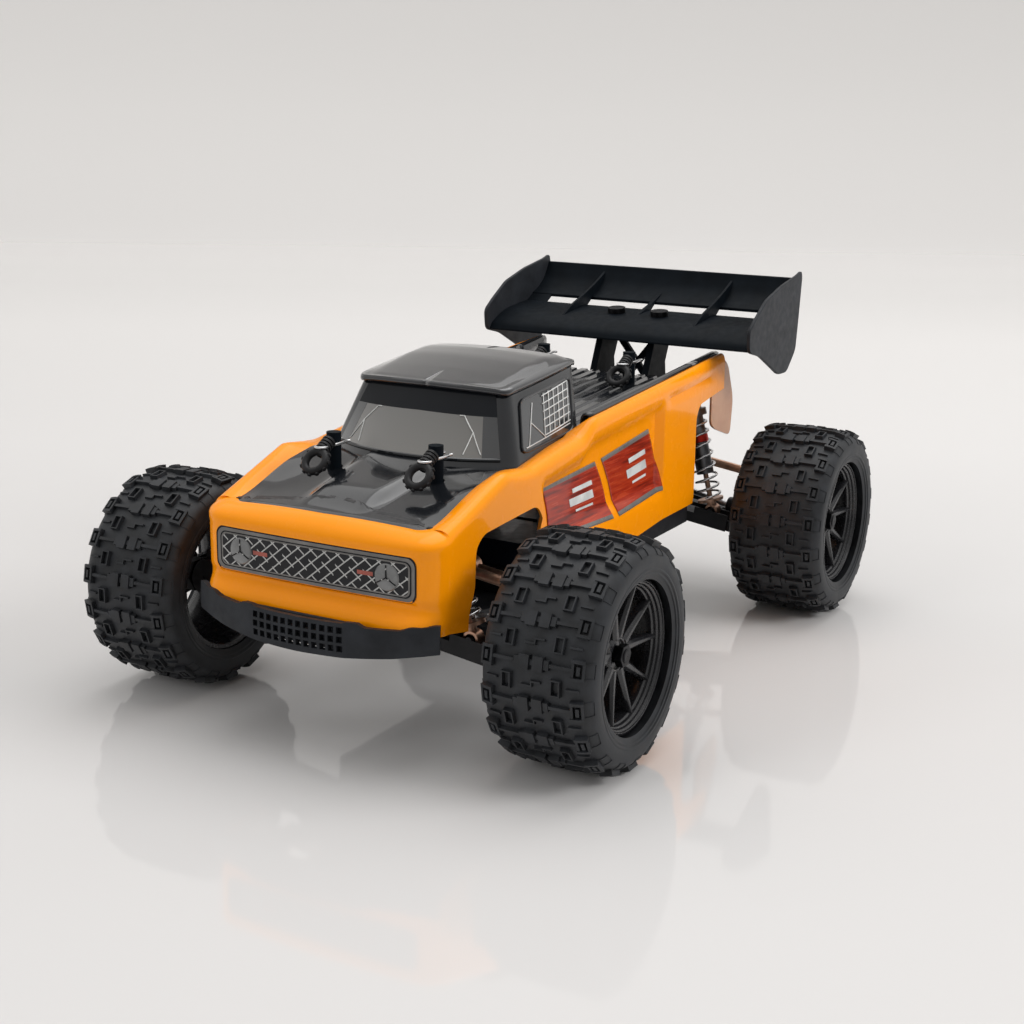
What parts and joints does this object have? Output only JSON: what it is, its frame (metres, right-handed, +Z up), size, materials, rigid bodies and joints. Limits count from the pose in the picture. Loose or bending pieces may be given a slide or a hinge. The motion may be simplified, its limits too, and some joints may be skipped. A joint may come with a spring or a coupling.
{
  "type": "rc buggy",
  "caption": "Radio-controlled four-wheel-drive buggy with a pickup-style shell, sprung wishbone suspension, steered front wheels and a rear wing.",
  "frame": {"origin": "on the floor, at the middle of the footprint", "axes": "+X forward, +Y to the vehicle's left, +Z up"},
  "size_m": [0.29, 0.205, 0.14],
  "materials": {
    "shell_paint": "glossy amber paint under clear polycarbonate",
    "chassis_plastic": "moulded black nylon",
    "bumper_plastic": "moulded dark grey nylon, fine grain",
    "wing_plastic": "satin black moulding",
    "rim_plastic": "satin black",
    "tyre": "matte black rubber",
    "link_plastic": "moulded black nylon",
    "steel": "machined steel",
    "screw_black": "black oxide",
    "spring_chrome": "polished spring wire",
    "clip_chrome": "polished wire with black rubber tabs",
    "shock_body": "anodised red aluminium",
    "shock_rod": "copper-toned steel",
    "brass": "machined brass",
    "motor_can": "anodised can",
    "servo_case": "black case",
    "esc_case": "black anodised heat sink",
    "battery_wrap": "shrink wrap"
  },
  "bodies": {
    "root": {"chassis_tub": "chassis_plastic", "front_gearbox": "chassis_plastic", "rear_gearbox": "chassis_plastic", "front_shock_tower": "chassis_plastic", "rear_shock_tower": "chassis_plastic", "front_bumper": "bumper_plastic", "motor": "motor_can", "servo": "servo_case", "esc_receiver": "esc_case", "battery": "battery_wrap", "body_posts": "chassis_plastic", "wing_mount": "chassis_plastic", "rear_wing": "wing_plastic", "hinge_pins": "steel", "screws": "screw_black", "body_shell": "shell_paint", "springs": "spring_chrome"},
    "body_clips": {"body_clips": "clip_chrome"},
    "front_diff": {"front_diff": "steel"},
    "rear_diff": {"rear_diff": "steel"},
    "center_shaft": {"center_shaft": "steel"},
    "motor_pinion": {"motor_pinion": "brass"},
    "servo_horn": {"servo_horn": "chassis_plastic"},
    "center_link": {"center_link": "chassis_plastic"},
    "tie_rod_left": {"tie_rod_left": "link_plastic"},
    "tie_rod_right": {"tie_rod_right": "link_plastic"},
    "knuckle_left": {"knuckle_left": "chassis_plastic"},
    "knuckle_right": {"knuckle_right": "chassis_plastic"},
    "lower_arm_fl": {"lower_arm_fl": "chassis_plastic"},
    "upper_link_fl": {"upper_link_fl": "link_plastic"},
    "hub_carrier_fl": {"hub_carrier_fl": "chassis_plastic"},
    "shock_body_fl": {"shock_body_fl": "shock_body"},
    "shock_rod_fl": {"shock_rod_fl": "shock_rod"},
    "dogbone_fl": {"dogbone_fl": "steel"},
    "wheel_fl": {"tyre_fl": "tyre", "rim_fl": "rim_plastic"},
    "lower_arm_fr": {"lower_arm_fr": "chassis_plastic"},
    "upper_link_fr": {"upper_link_fr": "link_plastic"},
    "hub_carrier_fr": {"hub_carrier_fr": "chassis_plastic"},
    "shock_body_fr": {"shock_body_fr": "shock_body"},
    "shock_rod_fr": {"shock_rod_fr": "shock_rod"},
    "dogbone_fr": {"dogbone_fr": "steel"},
    "wheel_fr": {"tyre_fr": "tyre", "rim_fr": "rim_plastic"},
    "lower_arm_rl": {"lower_arm_rl": "chassis_plastic"},
    "upper_link_rl": {"upper_link_rl": "link_plastic"},
    "hub_carrier_rl": {"hub_carrier_rl": "chassis_plastic"},
    "shock_body_rl": {"shock_body_rl": "shock_body"},
    "shock_rod_rl": {"shock_rod_rl": "shock_rod"},
    "dogbone_rl": {"dogbone_rl": "steel"},
    "wheel_rl": {"tyre_rl": "tyre", "rim_rl": "rim_plastic"},
    "lower_arm_rr": {"lower_arm_rr": "chassis_plastic"},
    "upper_link_rr": {"upper_link_rr": "link_plastic"},
    "hub_carrier_rr": {"hub_carrier_rr": "chassis_plastic"},
    "shock_body_rr": {"shock_body_rr": "shock_body"},
    "shock_rod_rr": {"shock_rod_rr": "shock_rod"},
    "dogbone_rr": {"dogbone_rr": "steel"},
    "wheel_rr": {"tyre_rr": "tyre", "rim_rr": "rim_plastic"}
  },
  "joints": [
    {"name": "clip_pull", "type": "slide", "parent": "root", "child": "body_clips", "axis": [1, 0, 0], "range_m": [0, 0.018]},
    {"name": "arm_fl", "type": "hinge", "parent": "root", "child": "lower_arm_fl", "pos_m": [0.0975, 0.02, 0.0385], "axis": [1, 0, 0], "range_deg": [-10, 12], "stiffness_Nm_per_rad": 0.45, "springref_deg": -4.87},
    {"name": "link_fl", "type": "hinge", "parent": "root", "child": "upper_link_fl", "pos_m": [0.0975, 0.02, 0.0615], "axis": [1, 0, 0], "range_deg": [-10.5, 12.5]},
    {"name": "carrier_fl", "type": "hinge", "parent": "lower_arm_fl", "child": "hub_carrier_fl", "pos_m": [0.0975, 0.058, 0.033], "axis": [1, 0, 0], "range_deg": [-12.5, 10.5]},
    {"name": "shock_fl", "type": "hinge", "parent": "root", "child": "shock_body_fl", "pos_m": [0.1075, 0.032, 0.076], "axis": [1, 0, 0], "range_deg": [-3, 3]},
    {"name": "shock_slide_fl", "type": "slide", "parent": "shock_body_fl", "child": "shock_rod_fl", "axis": [0, 0.3469, -0.9379], "range_m": [-0.0058, 0.005], "deforming": ["springs"]},
    {"name": "dogbone_fl", "type": "hinge", "parent": "root", "child": "dogbone_fl", "pos_m": [0.0975, 0.0165, 0.0478], "axis": [1, 0, 0], "range_deg": [-12, 14]},
    {"name": "steer_left", "type": "hinge", "parent": "hub_carrier_fl", "child": "knuckle_left", "pos_m": [0.0975, 0.068, 0.0395], "axis": [0, 0, 1], "range_deg": [-22, 22]},
    {"name": "spin_fl", "type": "hinge", "parent": "knuckle_left", "child": "wheel_fl", "pos_m": [0.0975, 0.0825, 0.0395], "axis": [0, 1, 0], "continuous": true},
    {"name": "arm_fr", "type": "hinge", "parent": "root", "child": "lower_arm_fr", "pos_m": [0.0975, -0.02, 0.0385], "axis": [-1, 0, 0], "range_deg": [-10, 12], "stiffness_Nm_per_rad": 0.45, "springref_deg": -4.87},
    {"name": "link_fr", "type": "hinge", "parent": "root", "child": "upper_link_fr", "pos_m": [0.0975, -0.02, 0.0615], "axis": [-1, 0, 0], "range_deg": [-10.5, 12.5]},
    {"name": "carrier_fr", "type": "hinge", "parent": "lower_arm_fr", "child": "hub_carrier_fr", "pos_m": [0.0975, -0.058, 0.033], "axis": [-1, 0, 0], "range_deg": [-12.5, 10.5]},
    {"name": "shock_fr", "type": "hinge", "parent": "root", "child": "shock_body_fr", "pos_m": [0.1075, -0.032, 0.076], "axis": [-1, 0, 0], "range_deg": [-3, 3]},
    {"name": "shock_slide_fr", "type": "slide", "parent": "shock_body_fr", "child": "shock_rod_fr", "axis": [0, -0.3469, -0.9379], "range_m": [-0.0058, 0.005], "deforming": ["springs"]},
    {"name": "dogbone_fr", "type": "hinge", "parent": "root", "child": "dogbone_fr", "pos_m": [0.0975, -0.0165, 0.0478], "axis": [-1, 0, 0], "range_deg": [-12, 14]},
    {"name": "steer_right", "type": "hinge", "parent": "hub_carrier_fr", "child": "knuckle_right", "pos_m": [0.0975, -0.068, 0.0395], "axis": [0, 0, 1], "range_deg": [-22.5, 22.5]},
    {"name": "spin_fr", "type": "hinge", "parent": "knuckle_right", "child": "wheel_fr", "pos_m": [0.0975, -0.0825, 0.0395], "axis": [0, 1, 0], "continuous": true},
    {"name": "arm_rl", "type": "hinge", "parent": "root", "child": "lower_arm_rl", "pos_m": [-0.1055, 0.02, 0.0385], "axis": [1, 0, 0], "range_deg": [-10, 12], "stiffness_Nm_per_rad": 0.45, "springref_deg": -4.87},
    {"name": "link_rl", "type": "hinge", "parent": "root", "child": "upper_link_rl", "pos_m": [-0.1055, 0.02, 0.0615], "axis": [1, 0, 0], "range_deg": [-10.5, 12.5]},
    {"name": "carrier_rl", "type": "hinge", "parent": "lower_arm_rl", "child": "hub_carrier_rl", "pos_m": [-0.1055, 0.058, 0.033], "axis": [1, 0, 0], "range_deg": [-12.5, 10.5]},
    {"name": "shock_rl", "type": "hinge", "parent": "root", "child": "shock_body_rl", "pos_m": [-0.0955, 0.033, 0.088], "axis": [1, 0, 0], "range_deg": [-3, 3]},
    {"name": "shock_slide_rl", "type": "slide", "parent": "shock_body_rl", "child": "shock_rod_rl", "axis": [0, 0.2496, -0.9684], "range_m": [-0.0058, 0.005], "deforming": ["springs"]},
    {"name": "dogbone_rl", "type": "hinge", "parent": "root", "child": "dogbone_rl", "pos_m": [-0.1055, 0.0165, 0.0478], "axis": [1, 0, 0], "range_deg": [-12, 14]},
    {"name": "spin_rl", "type": "hinge", "parent": "hub_carrier_rl", "child": "wheel_rl", "pos_m": [-0.1055, 0.0825, 0.0395], "axis": [0, 1, 0], "continuous": true},
    {"name": "arm_rr", "type": "hinge", "parent": "root", "child": "lower_arm_rr", "pos_m": [-0.1055, -0.02, 0.0385], "axis": [-1, 0, 0], "range_deg": [-10, 12], "stiffness_Nm_per_rad": 0.45, "springref_deg": -4.87},
    {"name": "link_rr", "type": "hinge", "parent": "root", "child": "upper_link_rr", "pos_m": [-0.1055, -0.02, 0.0615], "axis": [-1, 0, 0], "range_deg": [-10.5, 12.5]},
    {"name": "carrier_rr", "type": "hinge", "parent": "lower_arm_rr", "child": "hub_carrier_rr", "pos_m": [-0.1055, -0.058, 0.033], "axis": [-1, 0, 0], "range_deg": [-12.5, 10.5]},
    {"name": "shock_rr", "type": "hinge", "parent": "root", "child": "shock_body_rr", "pos_m": [-0.0955, -0.033, 0.088], "axis": [-1, 0, 0], "range_deg": [-3, 3]},
    {"name": "shock_slide_rr", "type": "slide", "parent": "shock_body_rr", "child": "shock_rod_rr", "axis": [0, -0.2496, -0.9684], "range_m": [-0.0058, 0.005], "deforming": ["springs"]},
    {"name": "dogbone_rr", "type": "hinge", "parent": "root", "child": "dogbone_rr", "pos_m": [-0.1055, -0.0165, 0.0478], "axis": [-1, 0, 0], "range_deg": [-12, 14]},
    {"name": "spin_rr", "type": "hinge", "parent": "hub_carrier_rr", "child": "wheel_rr", "pos_m": [-0.1055, -0.0825, 0.0395], "axis": [0, 1, 0], "continuous": true},
    {"name": "horn_turn", "type": "hinge", "parent": "root", "child": "servo_horn", "pos_m": [0.072, -0.023, 0.054], "axis": [0, 0, 1], "range_deg": [-22.5, 22.5]},
    {"name": "center_link_pivot", "type": "hinge", "parent": "servo_horn", "child": "center_link", "pos_m": [0.058, -0.023, 0.055], "axis": [0, 0, 1], "range_deg": [-22.5, 22.5]},
    {"name": "tie_rod_left_tilt", "type": "hinge", "parent": "center_link", "child": "tie_rod_left", "pos_m": [0.0835, 0.03, 0.0565], "axis": [1, 0, 0], "range_deg": [-10.5, 12.5]},
    {"name": "tie_rod_right_tilt", "type": "hinge", "parent": "center_link", "child": "tie_rod_right", "pos_m": [0.0835, -0.03, 0.0565], "axis": [-1, 0, 0], "range_deg": [-10.5, 12.5]},
    {"name": "front_diff_spin", "type": "hinge", "parent": "root", "child": "front_diff", "pos_m": [0.0975, 0, 0.0478], "axis": [0, 1, 0], "continuous": true},
    {"name": "rear_diff_spin", "type": "hinge", "parent": "root", "child": "rear_diff", "pos_m": [-0.1055, 0, 0.0478], "axis": [0, 1, 0], "continuous": true},
    {"name": "shaft_spin", "type": "hinge", "parent": "root", "child": "center_shaft", "pos_m": [0, 0, 0.0478], "axis": [1, 0, 0], "continuous": true},
    {"name": "motor_spin", "type": "hinge", "parent": "root", "child": "motor_pinion", "pos_m": [-0.044, -0.0154, 0.05029], "axis": [1, 0, 0], "continuous": true}
  ],
  "couplings": [
    {"joint": "link_fl", "follows": "arm_fl", "ratio": 1},
    {"joint": "carrier_fl", "follows": "arm_fl", "ratio": -1},
    {"joint": "shock_fl", "follows": "arm_fl", "ratio": 0.19},
    {"joint": "shock_slide_fl", "follows": "arm_fl", "m_per_rad": -0.0243},
    {"joint": "dogbone_fl", "follows": "arm_fl", "ratio": 0.736},
    {"joint": "link_fr", "follows": "arm_fr", "ratio": 1},
    {"joint": "carrier_fr", "follows": "arm_fr", "ratio": -1},
    {"joint": "shock_fr", "follows": "arm_fr", "ratio": 0.19},
    {"joint": "shock_slide_fr", "follows": "arm_fr", "m_per_rad": -0.0243},
    {"joint": "dogbone_fr", "follows": "arm_fr", "ratio": 0.736},
    {"joint": "link_rl", "follows": "arm_rl", "ratio": 1},
    {"joint": "carrier_rl", "follows": "arm_rl", "ratio": -1},
    {"joint": "shock_rl", "follows": "arm_rl", "ratio": 0.096},
    {"joint": "shock_slide_rl", "follows": "arm_rl", "m_per_rad": -0.0249},
    {"joint": "dogbone_rl", "follows": "arm_rl", "ratio": 1.1},
    {"joint": "link_rr", "follows": "arm_rr", "ratio": 1},
    {"joint": "carrier_rr", "follows": "arm_rr", "ratio": -1},
    {"joint": "shock_rr", "follows": "arm_rr", "ratio": 0.096},
    {"joint": "shock_slide_rr", "follows": "arm_rr", "m_per_rad": -0.0249},
    {"joint": "dogbone_rr", "follows": "arm_rr", "ratio": 1.1},
    {"joint": "steer_right", "follows": "steer_left", "ratio": 1},
    {"joint": "horn_turn", "follows": "steer_left", "ratio": 1},
    {"joint": "center_link_pivot", "follows": "steer_left", "ratio": -1},
    {"joint": "tie_rod_left_tilt", "follows": "arm_fl", "ratio": 1},
    {"joint": "tie_rod_right_tilt", "follows": "arm_fr", "ratio": 1},
    {"joint": "spin_rr", "follows": "spin_rl", "ratio": 1},
    {"joint": "spin_fl", "follows": "spin_rl", "ratio": 1},
    {"joint": "spin_fr", "follows": "spin_rl", "ratio": 1},
    {"joint": "front_diff_spin", "follows": "spin_rl", "ratio": 1},
    {"joint": "rear_diff_spin", "follows": "spin_rl", "ratio": 1},
    {"joint": "shaft_spin", "follows": "spin_rl", "ratio": 3},
    {"joint": "motor_spin", "follows": "spin_rl", "ratio": -10}
  ]
}
